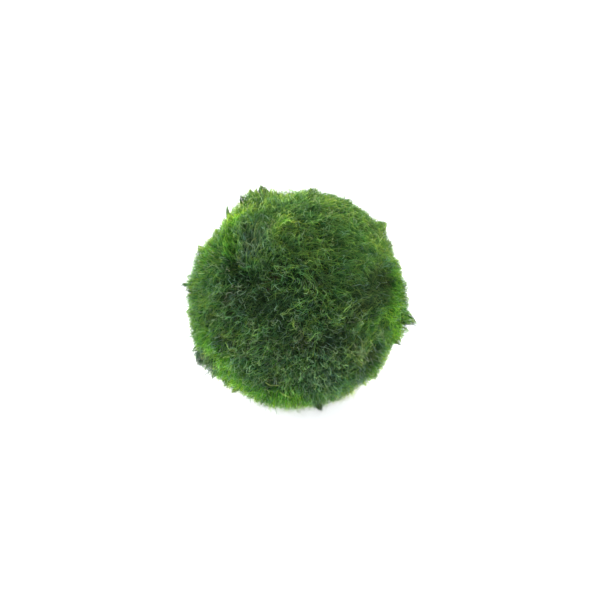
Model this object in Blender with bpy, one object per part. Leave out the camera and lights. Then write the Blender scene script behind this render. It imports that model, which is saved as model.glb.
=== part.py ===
"""Marimo moss ball: a free-standing ball of matted green algae filaments, about 5 cm across.

The ball grew as one piece, so it is one solid. Its surface is the outer form that the filament tips reach:
broad lumps and hollows, overlapping tufts combed over the surface, and pointed locks that stand out of it.
Its own weight presses a small flat spot underneath, and the ball rests on that spot.

Lengths are in metres and +Z is up. The front faces -Y. The origin is on the surface that the ball rests on,
under the middle of the ball's box. Lumps, combing and locks are placed as seen from the showing side: from
the front and SHOWING_TILT above it. A clock angle runs from 0 at the right to 90 at the top, and an off-axis
angle from 0 in the middle of the showing side, past the outline at 90, to 180 at the far side.
"""

import math
from typing import NamedTuple

import bmesh
import bpy
import numpy as np
from mathutils import noise

BALL_RADIUS = 0.0245
REST_SPOT_RADIUS = 0.0088
SHOWING_TILT = math.radians(35)
GOLDEN_ANGLE = math.pi * (3 - math.sqrt(5))

MESH_DIVISIONS = 7
KEPT_SHARE_OF_FACES = 0.11
SHARP_EDGE_ANGLE = math.radians(50)

BROAD_NOISE_SCALE = 2.3
BROAD_NOISE_HEIGHT = 0.0007
FINE_NOISE_SCALE = 6.0
FINE_NOISE_HEIGHT = 0.0003

# Each part of the swirl's vectors reads the noise at its own shift.
SWIRL_SCALE = 1.4
SWIRL_SHIFTS = ((5.0, 2.0, 7.0), (31.0, 17.0, 3.0), (11.0, 43.0, 23.0))

TUFT_COUNT = 330
TUFT_LENGTH = 0.0064
TUFT_HALF_WIDTH = 0.0019
TUFT_HEIGHT = 0.0012
TUFT_SIZE_VARIATION = 0.35

SPARE_LOCK_COUNT = 64
SPARE_LOCK_HEIGHT = 0.0012
LOCK_HALF_WIDTH = 0.0017
LOCK_LEAN = 0.85
LOCK_CLEARANCE = math.radians(14)

# Relief fades out towards the squashed underside, between these heights of the direction vector.
UNDERSIDE_SMOOTH_BELOW = -0.92
UNDERSIDE_ROUGH_ABOVE = -0.78

ALGAE_COLOUR = (0.045, 0.130, 0.024, 1)
ALGAE_ROUGHNESS = 0.85


class Lump(NamedTuple):
    """A broad swelling, or a hollow where the height is negative."""

    clock: float
    off_axis: float
    height: float
    spread: float


class CombStroke(NamedTuple):
    """The way the filaments lie in one area: heading is a clock angle as seen from the showing side."""

    clock: float
    off_axis: float
    heading: float
    spread: float


class Lock(NamedTuple):
    """A pointed lock of filaments that stands out of the surface."""

    clock: float
    off_axis: float
    height: float


LUMPS = (
    # Swellings and dents along the outline
    Lump(39, 86, 0.0012, 8),
    Lump(110, 85, 0.0016, 9),
    Lump(140, 86, -0.0031, 9),
    Lump(161, 86, -0.0005, 5),
    Lump(21, 86, -0.0011, 9),
    Lump(94, 84, -0.0019, 7),
    Lump(213, 87, 0.0012, 9),
    Lump(274, 86, -0.0007, 6),
    Lump(348, 84, 0.0011, 9),
    Lump(332, 86, -0.0022, 7),
    Lump(317, 86, 0.0007, 8),
    Lump(359, 86, 0.0004, 5),
    # Hollows and swellings of the showing side
    Lump(155, 34, -0.0021, 12),
    Lump(127, 44, -0.0012, 9),
    Lump(12, 57, -0.0018, 8),
    Lump(338, 40, -0.0014, 9),
    Lump(36, 20, -0.0014, 7),
    Lump(283, 27, -0.0010, 8),
    Lump(252, 57, -0.0014, 7),
    Lump(188, 58, -0.0010, 7),
    Lump(94, 66, -0.0009, 7),
    Lump(130, 65, 0.0008, 9),
    Lump(57, 50, 0.0012, 17),
    Lump(212, 50, 0.0012, 11),
    Lump(0, 62, 0.0011, 8),
    Lump(305, 57, 0.0008, 12),
    Lump(265, 66, 0.0008, 8),
    Lump(250, 8, 0.0006, 10),
    # The far side
    Lump(60, 118, 0.0010, 16),
    Lump(150, 125, -0.0014, 13),
    Lump(15, 135, -0.0013, 12),
    Lump(330, 120, 0.0009, 14),
    Lump(100, 155, 0.0012, 14),
    Lump(200, 128, 0.0010, 13),
    Lump(185, 160, -0.0014, 12),
    Lump(80, 140, -0.0010, 9),
)

COMB_STROKES = (
    CombStroke(56, 50, 348, 28),
    CombStroke(20, 62, 330, 16),
    CombStroke(92, 70, 60, 14),
    CombStroke(127, 45, 97, 18),
    CombStroke(140, 78, 75, 16),
    CombStroke(180, 60, 235, 22),
    CombStroke(240, 62, 190, 20),
    CombStroke(250, 20, 215, 20),
    CombStroke(285, 62, 355, 18),
    CombStroke(325, 42, 58, 20),
    CombStroke(350, 74, 275, 14),
)

OUTLINE_LOCKS = (
    Lock(348, 84, 0.0023),
    Lock(40, 85, 0.0011),
    Lock(62, 86, 0.0007),
    Lock(82, 86, 0.0008),
    Lock(108, 85, 0.0009),
    Lock(119, 86, 0.0009),
    Lock(129, 86, 0.0012),
    Lock(143, 86, 0.0007),
    Lock(154, 86, 0.0010),
    Lock(171, 86, 0.0014),
    Lock(186, 86, 0.0007),
    Lock(207, 87, 0.0012),
    Lock(220, 86, 0.0009),
    Lock(236, 86, 0.0008),
    Lock(281, 86, 0.0012),
    Lock(315, 86, 0.0008),
    Lock(338, 85, 0.0008),
)


def showing_axes():
    """The directions right, up and towards the viewer, as seen from the showing side."""
    right = np.array([1.0, 0.0, 0.0])
    up = np.array([0.0, math.sin(SHOWING_TILT), math.cos(SHOWING_TILT)])
    towards = np.array([0.0, -math.cos(SHOWING_TILT), math.sin(SHOWING_TILT)])
    return right, up, towards


def seen_at(clock, off_axis):
    """The direction from the ball's centre to a spot seen at a clock angle and an off-axis angle, in degrees."""
    right, up, towards = showing_axes()
    turn, lean = math.radians(clock), math.radians(off_axis)
    return (
        math.sin(lean) * (math.cos(turn) * right + math.sin(turn) * up)
        + math.cos(lean) * towards
    )


def unit(vectors):
    """The vectors at unit length, along the last axis."""
    return vectors / np.maximum(np.linalg.norm(vectors, axis=-1, keepdims=True), 1e-12)


def even_directions(count):
    """Directions spread evenly over the whole ball, along a golden-angle spiral."""
    steps = np.arange(count)
    height = 1 - 2 * (steps + 0.5) / count
    ring = np.sqrt(1 - height**2)
    turn = steps * GOLDEN_ANGLE
    return np.stack([ring * np.cos(turn), ring * np.sin(turn), height], axis=1)


def swirl(directions):
    """A slow swirl that sets how the filaments lie where no stroke reaches."""
    parts = [[noise.noise(SWIRL_SCALE * d + np.array(shift)) for d in directions] for shift in SWIRL_SHIFTS]
    return np.array(parts).T


def comb(directions):
    """The unit tangents along which the filaments lie at these directions."""
    right, up, _ = showing_axes()
    lie = 0.6 * swirl(directions)
    for stroke in COMB_STROKES:
        turn = math.radians(stroke.heading)
        heading = math.cos(turn) * right + math.sin(turn) * up
        away = np.arccos(np.clip(directions @ seen_at(stroke.clock, stroke.off_axis), -1, 1))
        reach = np.exp(-((away / math.radians(stroke.spread)) ** 2))
        lie += 1.6 * reach[:, None] * heading
    lie -= (lie * directions).sum(axis=1, keepdims=True) * directions
    return unit(lie)


def noise_height(directions):
    """Irregular heights of two sizes."""
    broad = np.array([noise.noise(BROAD_NOISE_SCALE * d) for d in directions])
    fine = np.array([noise.noise(FINE_NOISE_SCALE * d) for d in directions])
    return BROAD_NOISE_HEIGHT * broad + FINE_NOISE_HEIGHT * fine


def lump_height(directions):
    """The height that the swellings and hollows add at these directions."""
    height = np.zeros(len(directions))
    for lump in LUMPS:
        away = np.arccos(np.clip(directions @ seen_at(lump.clock, lump.off_axis), -1, 1))
        height += lump.height * np.exp(-((away / math.radians(lump.spread)) ** 2))
    return height


def tuft_height(directions):
    """The relief of overlapping tufts, each low at its root and raised to a point at its tip."""
    roots = even_directions(TUFT_COUNT)
    lies = comb(roots)
    sizes = 1 + TUFT_SIZE_VARIATION * np.sin(np.arange(TUFT_COUNT) * 2.4)
    height = np.zeros(len(directions))
    for root, lie, size in zip(roots, lies, sizes, strict=True):
        offset = (directions - root) * BALL_RADIUS
        along = offset @ lie / TUFT_LENGTH + 0.5
        across = offset @ np.cross(root, lie) / (TUFT_HALF_WIDTH * size)
        near = (along > 0) & (along < 1) & (directions @ root > 0)
        taper = np.clip(1 - along, 0, 1) ** 0.45
        crown = np.clip(1 - (across / np.maximum(taper, 0.05)) ** 2, 0, 1)
        height = np.maximum(height, np.where(near, TUFT_HEIGHT * size * along * crown, 0.0))
    return height


def all_locks():
    """(direction, height) of each lock: those of the outline, and spare ones evenly over the rest."""
    locks = [(seen_at(lock.clock, lock.off_axis), lock.height) for lock in OUTLINE_LOCKS]
    for step, direction in enumerate(even_directions(SPARE_LOCK_COUNT)):
        clear = all(np.dot(direction, other) < math.cos(LOCK_CLEARANCE) for other, _ in locks)
        if clear and direction[2] > UNDERSIDE_ROUGH_ABOVE:
            locks.append((direction, SPARE_LOCK_HEIGHT * (1 + TUFT_SIZE_VARIATION * math.sin(step * 1.9))))
    return locks


def lock_offset(directions):
    """How far each surface point moves to form the locks, which lean along the combing."""
    offset = np.zeros((len(directions), 3))
    for direction, height in all_locks():
        lie = comb(direction[None])[0]
        away = np.linalg.norm(directions - direction, axis=1) * BALL_RADIUS
        cone = np.clip(1 - away / LOCK_HALF_WIDTH, 0, 1) ** 1.3
        offset += height * cone[:, None] * (direction + LOCK_LEAN * lie)
    return offset


def roughness_share(directions):
    """0 on the squashed underside, and 1 on all of the ball above it."""
    share = (directions[:, 2] - UNDERSIDE_SMOOTH_BELOW) / (UNDERSIDE_ROUGH_ABOVE - UNDERSIDE_SMOOTH_BELOW)
    share = np.clip(share, 0, 1)
    return share * share * (3 - 2 * share)


def shaggy_surface(directions):
    """The places of the surface points that lie in these directions, about the ball's centre."""
    rough = roughness_share(directions)
    radius = BALL_RADIUS + lump_height(directions)
    radius += rough * (noise_height(directions) + tuft_height(directions) - 0.5 * TUFT_HEIGHT)
    return radius[:, None] * directions + rough[:, None] * lock_offset(directions)


def ball_mesh():
    """A fine closed mesh of the whole ball about its centre, with no flat spot yet."""
    shape = bmesh.new()
    bmesh.ops.create_icosphere(shape, subdivisions=MESH_DIVISIONS, radius=1.0)
    directions = unit(np.array([v.co for v in shape.verts]))
    for vertex, place in zip(shape.verts, shaggy_surface(directions), strict=True):
        vertex.co = place
    mesh = bpy.data.meshes.new("moss_ball")
    shape.to_mesh(mesh)
    shape.free()
    return mesh


def thinned(ball):
    """The ball's mesh with far fewer faces, most of them kept where the relief is sharp."""
    decimate = ball.modifiers.new("fewer_faces", "DECIMATE")
    decimate.ratio = KEPT_SHARE_OF_FACES
    graph = bpy.context.evaluated_depsgraph_get()
    mesh = bpy.data.meshes.new_from_object(ball.evaluated_get(graph))
    ball.modifiers.clear()
    return mesh


def rest_on_flat_spot(mesh):
    """Cuts the underside flat at the rest spot and puts the origin on it, under the middle of the ball."""
    rest_depth = math.sqrt(BALL_RADIUS**2 - REST_SPOT_RADIUS**2)
    shape = bmesh.new()
    shape.from_mesh(mesh)
    everything = shape.verts[:] + shape.edges[:] + shape.faces[:]
    bmesh.ops.bisect_plane(
        shape,
        geom=everything,
        dist=1e-6,
        plane_co=(0, 0, -rest_depth),
        plane_no=(0, 0, -1),
        clear_outer=True,
    )
    rim = [edge for edge in shape.edges if edge.is_boundary]
    bmesh.ops.contextual_create(shape, geom=rim)
    for vertex in {v for edge in rim for v in edge.verts}:
        vertex.co.z = -rest_depth
    bmesh.ops.recalc_face_normals(shape, faces=shape.faces)
    places = np.array([v.co for v in shape.verts])
    middle = (places.min(axis=0) + places.max(axis=0)) / 2
    bmesh.ops.translate(shape, vec=(-middle[0], -middle[1], rest_depth), verts=shape.verts)
    shape.to_mesh(mesh)
    shape.free()


def algae_material():
    """The deep green of wet algae, with no gloss."""
    material = bpy.data.materials.new("algae_green")
    material.use_nodes = True
    shader = material.node_tree.nodes["Principled BSDF"]
    shader.inputs["Base Color"].default_value = ALGAE_COLOUR
    shader.inputs["Roughness"].default_value = ALGAE_ROUGHNESS
    shader.inputs["Metallic"].default_value = 0.0
    return material


def clear_scene():
    """Removes what the startup scene holds."""
    for old in list(bpy.data.objects):
        bpy.data.objects.remove(old)


def build():
    """Makes the moss ball."""
    clear_scene()
    ball = bpy.data.objects.new("moss_ball", ball_mesh())
    bpy.context.scene.collection.objects.link(ball)
    ball.data = thinned(ball)
    rest_on_flat_spot(ball.data)
    ball.data.shade_smooth()
    ball.data.set_sharp_from_angle(angle=SHARP_EDGE_ANGLE)
    ball.data.materials.append(algae_material())


build()
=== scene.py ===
"""A marimo moss ball on a pale studio floor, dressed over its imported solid.

The solid is the outer form that the filament tips reach. Here it becomes a dark felted mat with filaments
rooted in it: an upright pile, strands combed along the surface, tangled threads, pale threads, loose ends,
pointed locks and a few stray threads. Every filament is a tapered closed tube, and all of them ride with
the one body.

Lengths are in metres and +Z is up. Spots on the ball are given as seen from the showing side, which is the
front and SHOWING_TILT above it: a clock angle from 0 at the right to 90 at the top, and an off-axis angle
from 0 in the middle of the showing side, past the outline at 90, to 180 at the far side.
"""

import logging
import math
from dataclasses import dataclass, replace
from enum import Enum

import bmesh
import bpy
import numpy as np
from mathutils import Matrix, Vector, noise
from mathutils.bvhtree import BVHTree
from mathutils.kdtree import KDTree


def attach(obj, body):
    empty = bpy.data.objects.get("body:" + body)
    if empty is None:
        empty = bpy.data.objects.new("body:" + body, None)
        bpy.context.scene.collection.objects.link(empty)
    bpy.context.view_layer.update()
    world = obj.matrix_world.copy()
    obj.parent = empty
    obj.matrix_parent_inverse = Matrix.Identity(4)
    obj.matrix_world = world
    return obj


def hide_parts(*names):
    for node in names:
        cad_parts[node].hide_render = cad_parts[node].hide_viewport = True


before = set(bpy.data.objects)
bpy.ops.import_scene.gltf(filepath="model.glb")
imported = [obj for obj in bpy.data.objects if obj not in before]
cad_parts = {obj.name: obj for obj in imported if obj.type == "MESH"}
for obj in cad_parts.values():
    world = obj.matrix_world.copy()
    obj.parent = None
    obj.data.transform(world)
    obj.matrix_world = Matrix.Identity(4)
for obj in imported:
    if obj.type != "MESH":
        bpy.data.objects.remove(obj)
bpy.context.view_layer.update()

logging.basicConfig(level=logging.INFO, format="%(message)s")
log = logging.getLogger("moss_ball")

Colour = tuple[float, float, float, float]

BALL_RADIUS = 0.0245
SHOWING_TILT = math.radians(35)
GOLDEN_ANGLE = math.pi * (3 - math.sqrt(5))
WHOLE_TURN = 2 * math.pi
TINY = 1e-12

# Each part of the swirl's vectors reads the noise at its own shift.
SWIRL_SHIFTS = ((5.0, 2.0, 7.0), (31.0, 17.0, 3.0), (11.0, 43.0, 23.0))

COLOUR_SOCKET = "NodeSocketColor"
VALUE_SOCKET = "NodeSocketFloat"
WHITE = (1.0, 1.0, 1.0, 1.0)


class Lie(Enum):
    """How a kind of filament lies on the ball."""

    COMBED = "along the combing"
    TANGLED = "in any direction"


@dataclass(frozen=True)
class Stroke:
    """The way the filaments lie in one area, in degrees as seen from the showing side."""

    clock: float
    off_axis: float
    heading: float
    spread: float


@dataclass(frozen=True)
class Area:
    """An area of the ball where there is more or less of something."""

    clock: float
    off_axis: float
    spread: float
    weight: float


@dataclass(frozen=True)
class Lock:
    """A pointed lock of filaments that stands out of the ball."""

    clock: float
    off_axis: float
    height: float
    width: float = 0.8
    density: float = 1.0


@dataclass(frozen=True)
class Stray:
    """One loose thread that lies over the pile or stands out of it."""

    clock: float
    off_axis: float
    heading: float
    length: float
    height: float
    lift: float = 0.0
    curl: float = 0.6


def each(kind: type, *rows: tuple[object, ...]) -> tuple:
    """Makes one thing of a kind from each row, which gives its fields in their order."""
    return tuple(kind(*row) for row in rows)


def showing_axes() -> tuple[np.ndarray, np.ndarray, np.ndarray]:
    """Gives the directions right, up and towards the viewer of the showing side.

    Returns:
        Three unit vectors.
    """
    right = np.array([1.0, 0.0, 0.0])
    up = np.array([0.0, math.sin(SHOWING_TILT), math.cos(SHOWING_TILT)])
    towards = np.array([0.0, -math.cos(SHOWING_TILT), math.sin(SHOWING_TILT)])
    return right, up, towards


def clock_hand(clock: float) -> np.ndarray:
    """Gives the direction in which a clock angle points, square to the way to the viewer.

    Args:
        clock: The angle in degrees, as seen from the showing side.

    Returns:
        A unit vector.
    """
    right, up, _ = showing_axes()
    turn = math.radians(clock)
    return math.cos(turn) * right + math.sin(turn) * up


def seen_at(clock: float, off_axis: float) -> np.ndarray:
    """Gives the direction from the ball's middle to a spot on it.

    Args:
        clock: Clock angle of the spot in degrees, as seen from the showing side.
        off_axis: Angle between the spot and the middle of the showing side, in degrees.

    Returns:
        A unit vector.
    """
    lean = math.radians(off_axis)
    return math.sin(lean) * clock_hand(clock) + math.cos(lean) * showing_axes()[2]


def unit(vectors: np.ndarray) -> np.ndarray:
    """Gives the vectors at unit length, along the last axis."""
    return vectors / np.maximum(np.linalg.norm(vectors, axis=-1, keepdims=True), TINY)


def dots(a: np.ndarray, b: np.ndarray) -> np.ndarray:
    """Gives the dot products along the last axis, which is kept at length one."""
    return (a * b).sum(axis=-1, keepdims=True)


def nearness(directions: np.ndarray, spot: np.ndarray, spread: float) -> np.ndarray:
    """Tells how near directions are to a spot.

    Args:
        directions: Unit vectors, one a row.
        spot: Unit vector to the spot.
        spread: Angle in degrees at which nearness has dropped to about a third.

    Returns:
        One number for each direction: 1 at the spot, falling smoothly to 0.
    """
    away = np.arccos(np.clip(directions @ spot, -1, 1))
    return np.exp(-((away / math.radians(spread)) ** 2))


def weighed(directions: np.ndarray, areas: tuple[Area, ...], start: float) -> np.ndarray:
    """Adds up the weights of the areas that directions lie in.

    Args:
        directions: Unit vectors, one a row.
        areas: The areas.
        start: The weight outside all of them.

    Returns:
        One number for each direction.
    """
    total = np.full(len(directions), start)
    for area in areas:
        total += area.weight * nearness(directions, seen_at(area.clock, area.off_axis), area.spread)
    return total


def even_directions(count: int) -> np.ndarray:
    """Spreads directions evenly over the whole ball, along a golden-angle spiral.

    Args:
        count: How many directions.

    Returns:
        An array of unit vectors, one a row.
    """
    steps = np.arange(count)
    height = 1 - 2 * (steps + 0.5) / count
    ring = np.sqrt(1 - height**2)
    turn = steps * GOLDEN_ANGLE
    return np.stack([ring * np.cos(turn), ring * np.sin(turn), height], axis=1)


def cloud(directions: np.ndarray, scale: float, shift: float | np.ndarray) -> np.ndarray:
    """Gives an irregular number between about -1 and 1 for each direction."""
    return np.array([noise.noise(Vector(scale * direction + shift)) for direction in directions])


def swirl(directions: np.ndarray, scale: float) -> np.ndarray:
    """Gives a slowly changing random vector for each direction."""
    return np.stack([cloud(directions, scale, np.array(shift)) for shift in SWIRL_SHIFTS], axis=1)


class Reach:
    """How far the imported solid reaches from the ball's middle, in every direction."""

    ROWS = 240
    COLUMNS = 480
    BLUR_STEPS = 6
    REST_SPOT_TOP = 0.002
    OUTSIDE = 0.05

    def __init__(self, solid: bpy.types.Object) -> None:
        """Measures the solid.

        Args:
            solid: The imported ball, whose mesh is only read.
        """
        mesh = solid.data
        places = np.empty(len(mesh.vertices) * 3)
        mesh.vertices.foreach_get("co", places)
        places = places.reshape(-1, 3)
        self.middle = self._middle_of(places[places[:, 2] > self.REST_SPOT_TOP])
        self._tree = BVHTree.FromPolygons(
            [Vector(place) for place in places], [tuple(face.vertices) for face in mesh.polygons]
        )
        self._fine = self._measured()
        self._smooth = self._blurred(self._fine)

    @staticmethod
    def _middle_of(places: np.ndarray) -> np.ndarray:
        """Finds the middle of the sphere that fits the places best.

        Args:
            places: Points on the ball, one a row.

        Returns:
            The middle of the sphere.
        """
        terms = np.hstack([2 * places, np.ones((len(places), 1))])
        found = np.linalg.lstsq(terms, (places**2).sum(axis=1), rcond=None)[0]
        return found[:3]

    def _measured(self) -> np.ndarray:
        """Measures the reach on a grid of latitudes and longitudes.

        Returns:
            The grid of distances from the middle.
        """
        polar = (np.arange(self.ROWS) + 0.5) / self.ROWS * math.pi
        turn = np.arange(self.COLUMNS) / self.COLUMNS * WHOLE_TURN
        polar, turn = (values.ravel() for values in np.meshgrid(polar, turn, indexing="ij"))
        ring = np.sin(polar)
        directions = np.stack([ring * np.cos(turn), ring * np.sin(turn), np.cos(polar)], axis=1)
        found = np.empty(len(directions))
        for step, direction in enumerate(directions):
            origin = Vector(self.middle + direction * self.OUTSIDE)
            found[step] = self.OUTSIDE - self._tree.ray_cast(origin, Vector(-direction))[3]
        return found.reshape(self.ROWS, self.COLUMNS)

    def _blurred(self, grid: np.ndarray) -> np.ndarray:
        """Smooths a grid of distances.

        Args:
            grid: The grid to smooth.

        Returns:
            A new grid of the same size.
        """
        smooth = grid
        for _ in range(self.BLUR_STEPS):
            padded = np.pad(smooth, ((1, 1), (0, 0)), mode="edge")
            smooth = (padded[:-2] + padded[1:-1] + padded[2:]) / 3
            smooth = (smooth + np.roll(smooth, 2, axis=1) + np.roll(smooth, -2, axis=1)) / 3
        return smooth

    def _looked_up(self, grid: np.ndarray, directions: np.ndarray) -> np.ndarray:
        """Reads a grid between its points.

        Args:
            grid: The grid to read.
            directions: Unit vectors along the last axis.

        Returns:
            One distance for each direction.
        """
        polar = np.arccos(np.clip(directions[..., 2], -1, 1)) / math.pi * self.ROWS - 0.5
        turn = np.arctan2(directions[..., 1], directions[..., 0]) / WHOLE_TURN * self.COLUMNS
        polar = np.clip(polar, 0, self.ROWS - 1.001)
        row, column = np.floor(polar).astype(int), np.floor(turn).astype(int)
        down, along = polar - row, turn - column
        here, beside = column % self.COLUMNS, (column + 1) % self.COLUMNS
        upper = grid[row, here] * (1 - along) + grid[row, beside] * along
        lower = grid[row + 1, here] * (1 - along) + grid[row + 1, beside] * along
        return upper * (1 - down) + lower * down

    def fine(self, directions: np.ndarray) -> np.ndarray:
        """Gives the reach with its tufts and locks."""
        return self._looked_up(self._fine, directions)

    def smooth(self, directions: np.ndarray) -> np.ndarray:
        """Gives the reach with its tufts smoothed away."""
        return self._looked_up(self._smooth, directions)


@dataclass(frozen=True)
class Combing:
    """The way the filaments lie all over the ball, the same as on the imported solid."""

    swirl_scale: float = 1.4
    swirl_strength: float = 0.6
    stroke_strength: float = 1.6
    strokes: tuple[Stroke, ...] = each(
        Stroke,
        (56, 50, 348, 28), (20, 62, 330, 16), (92, 70, 60, 14), (127, 45, 97, 18), (140, 78, 75, 16),
        (180, 60, 235, 22), (240, 62, 190, 20), (250, 20, 215, 20), (285, 62, 355, 18), (325, 42, 58, 20),
        (350, 74, 275, 14),
    )

    def at(self, directions: np.ndarray) -> np.ndarray:
        """Gives the way the filaments lie.

        Args:
            directions: Unit vectors to places on the ball, one a row.

        Returns:
            One unit vector along the surface for each place.
        """
        lie = self.swirl_strength * swirl(directions, self.swirl_scale)
        for stroke in self.strokes:
            near = nearness(directions, seen_at(stroke.clock, stroke.off_axis), stroke.spread)
            lie += self.stroke_strength * near[:, None] * clock_hand(stroke.heading)
        return unit(lie - dots(lie, directions) * directions)


@dataclass(frozen=True)
class Patchwork:
    """Where the ball differs: in colour, from painted shade in its sunken hollows and gaps and painted light
    along its outline to sage and brown, and in its pile from sleek to short.
    """

    COLOURED = ("hollowshade", "goldenglow", "freshglow", "sage", "brown")
    # Each set reads the noise of its edges at its own shift, so that no two edges run alike.
    EDGE_SHIFTS = {
        "hollowshade": 0.0, "goldenglow": 3.0, "freshglow": 6.0, "sage": 9.0, "brown": 12.0,
        "sleek": 40.0, "curly": 43.0, "tall": 47.0, "short": 53.0,
    }

    # Sunken hollows, where the pile drops and the filaments' colour is also darkened as painted shade.
    hollowshade: tuple[Area, ...] = each(
        Area,
        (152, 41, 6, 0.4), (158, 24, 7, 0.5), (168, 40, 7, 0.45), (182, 22, 8, 0.55), (312, 66, 8, 1.0),
        (289, 50, 9, 0.5), (126, 42, 9, 0.45), (218, 12, 8, 0.3), (150, 6, 9, 0.35), (178, 66, 6, 0.35),
        (0, 33, 8, 1.0), (235, 15, 6, 0.5), (262, 24, 8, 0.3), (30, 21, 6, 0.4), (62, 27, 6, 0.35),
        (8, 50, 10, 2.0), (13, 62, 5, 1.0), (205, 20, 26, 0.2), (347, 33, 6, 0.6), (315, 32, 8, 1.15),
        (39, 35, 5, 0.5), (31, 46, 5, 0.4), (319, 60, 8, 1.5), (210, 47, 6, 0.8), (191, 53, 6, 1.0),
        (254, 52, 6, 1.2), (283, 27, 7, 0.5), (213, 80, 7, 1.0), (283, 84, 5, 0.9), (177, 80, 5, 0.6),
        (150, 125, 13, 0.8), (15, 135, 12, 0.8), (185, 160, 12, 0.8), (80, 140, 9, 0.6),
    )
    # Olive-gold patches on the crown, and a ring of patches along the outline as seen from the showing side,
    # which brighten it as painted light for the lit fringe.
    goldenglow: tuple[Area, ...] = each(
        Area,
        (40, 68, 15, 0.95), (66, 62, 15, 0.98), (101, 41, 7, 2.2), (319, 46, 7, 1.6), (342, 80, 9, 0.9),
        (218, 66, 8, 0.5), (116, 72, 13, 1.15), (137, 74, 11, 0.95), (95, 80, 10, 0.8), (150, 82, 10, 0.7),
        (194, 84, 8, 0.5), (238, 80, 9, 1.3), (268, 80, 9, 1.1), (301, 84, 9, 1.1), (320, 83, 9, 1.6),
        (12, 84, 9, 0.6), (83, 32, 6, 0.6), (110, 51, 6, 0.4), (216, 39, 7, 0.3), (60, 118, 20, 0.6),
        (230, 140, 18, 0.6),
    )
    # Patches of fresher green, most of them along the outline as seen from the showing side, where the
    # brighter green is painted light for the lit fringe.
    freshglow: tuple[Area, ...] = each(
        Area,
        (101, 41, 6, 0.45), (340, 49, 7, 0.35), (352, 67, 10, 1.6), (346, 75, 9, 1.5), (322, 83, 8, 0.9),
        (12, 72, 8, 1.1), (199, 61, 9, 0.6), (219, 60, 8, 1.4), (266, 63, 9, 1.0), (141, 50, 8, 0.8),
        (127, 64, 9, 0.6), (150, 68, 8, 0.5), (155, 65, 8, 0.5), (135, 80, 8, 0.55), (230, 76, 8, 1.2),
        (201, 74, 7, 0.8), (242, 72, 8, 1.4), (256, 73, 8, 1.4), (270, 77, 9, 1.4), (180, 80, 8, 0.5),
        (330, 120, 22, 0.7), (180, 125, 20, 0.7), (100, 155, 16, 0.6),
    )
    sage: tuple[Area, ...] = each(
        Area,
        (126, 42, 11, 1.0), (289, 50, 12, 0.6), (180, 34, 8, 0.3), (165, 38, 8, 0.2), (319, 46, 7, 0.5),
        (300, 30, 12, 0.4), (213, 82, 8, 1.8), (45, 13, 10, 0.3), (20, 110, 16, 0.7), (250, 120, 16, 0.6),
    )
    brown: tuple[Area, ...] = each(
        Area,
        (190, 19, 7, 0.45), (275, 22, 8, 0.5), (320, 60, 8, 0.4), (254, 52, 6, 0.6), (156, 20, 6, 0.3),
        (152, 41, 6, 0.5), (172, 36, 7, 0.4), (345, 33, 8, 0.4), (120, 125, 9, 0.7), (290, 150, 10, 0.6),
    )
    sleek: tuple[Area, ...] = each(
        Area,
        (57, 50, 26, 1.2), (127, 45, 14, 1.0), (325, 48, 13, 0.7), (200, 60, 12, 0.6), (70, 110, 24, 0.7),
        (250, 115, 22, 0.7),
    )
    curly: tuple[Area, ...] = each(
        Area,
        (250, 24, 24, 0.9), (290, 48, 20, 1.1), (230, 48, 12, 0.8), (180, 34, 12, 0.6), (20, 120, 20, 0.7),
        (160, 120, 20, 0.7),
    )
    tall: tuple[Area, ...] = each(
        Area,
        (4, 88, 15, 1.3), (25, 88, 8, 1.0), (37, 88, 7, 1.0), (50, 88, 10, 0.6), (77, 88, 9, 1.0),
        (102, 88, 7, 0.7), (114, 88, 6, 0.8), (175, 88, 7, 1.1), (197, 88, 10, 0.8), (215, 88, 6, 0.8),
        (231, 88, 10, 0.9), (258, 88, 6, 0.6), (297, 88, 12, 0.9), (319, 88, 12, 1.3), (342, 88, 9, 1.7),
    )
    short: tuple[Area, ...] = each(
        Area,
        (138, 86, 7, 1.5), (147, 86, 5, 1.2), (125, 87, 4, 1.2), (275, 88, 6, 0.9),
    )
    raggedness: float = 0.45
    coarse_edge: float = 7.0
    fine_edge: float = 17.0
    fine_share: float = 0.6
    crispness: float = 2.0
    gap_scale: float = 13.0
    gap_shift: float = 91.0
    gap_detail: float = 0.4
    gap_start: float = 0.05
    gap_span: float = 0.28
    drift_scale: float = 9.0
    drift_shift: float = 57.0
    slow_drift: float = 0.9
    fast_drift: float = 0.45

    def gaps(self, directions: np.ndarray) -> np.ndarray:
        """Tells where the sunken gaps between the tufts are.

        Args:
            directions: Unit vectors to places on the ball, one a row.

        Returns:
            One number for each place: 1 inside a gap and 0 on a tuft.
        """
        rough = cloud(directions, self.gap_scale, self.gap_shift)
        rough += self.gap_detail * cloud(directions, 2.4 * self.gap_scale, self.gap_shift + 7.0)
        return np.clip((rough - self.gap_start) / self.gap_span, 0, 1)

    def drift(self, directions: np.ndarray) -> np.ndarray:
        """Tells how warm the green is.

        Args:
            directions: Unit vectors to places on the ball, one a row.

        Returns:
            One number for each place, from 0 where the green is cool to 1 where it is warm.
        """
        slow = cloud(directions, self.drift_scale, self.drift_shift)
        fast = cloud(directions, 2.3 * self.drift_scale, self.drift_shift + 11.0)
        return np.clip(0.5 + self.slow_drift * slow + self.fast_drift * fast, 0, 1)

    def share(self, label: str, directions: np.ndarray) -> np.ndarray:
        """Tells how strongly places belong to a set of areas, with irregular edges.

        Args:
            label: The name of the set.
            directions: Unit vectors to the places, one a row.

        Returns:
            One number from 0 to 1 for each place.
        """
        total = weighed(directions, getattr(self, label), 0.0)
        shift = self.EDGE_SHIFTS[label]
        ragged = cloud(directions, self.coarse_edge, shift + 5.0)
        ragged += self.fine_share * cloud(directions, self.fine_edge, shift + 31.0)
        total += self.raggedness * ragged * (0.4 + total)
        return np.clip((total - 0.5) * self.crispness + 0.5, 0, 1)


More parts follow.
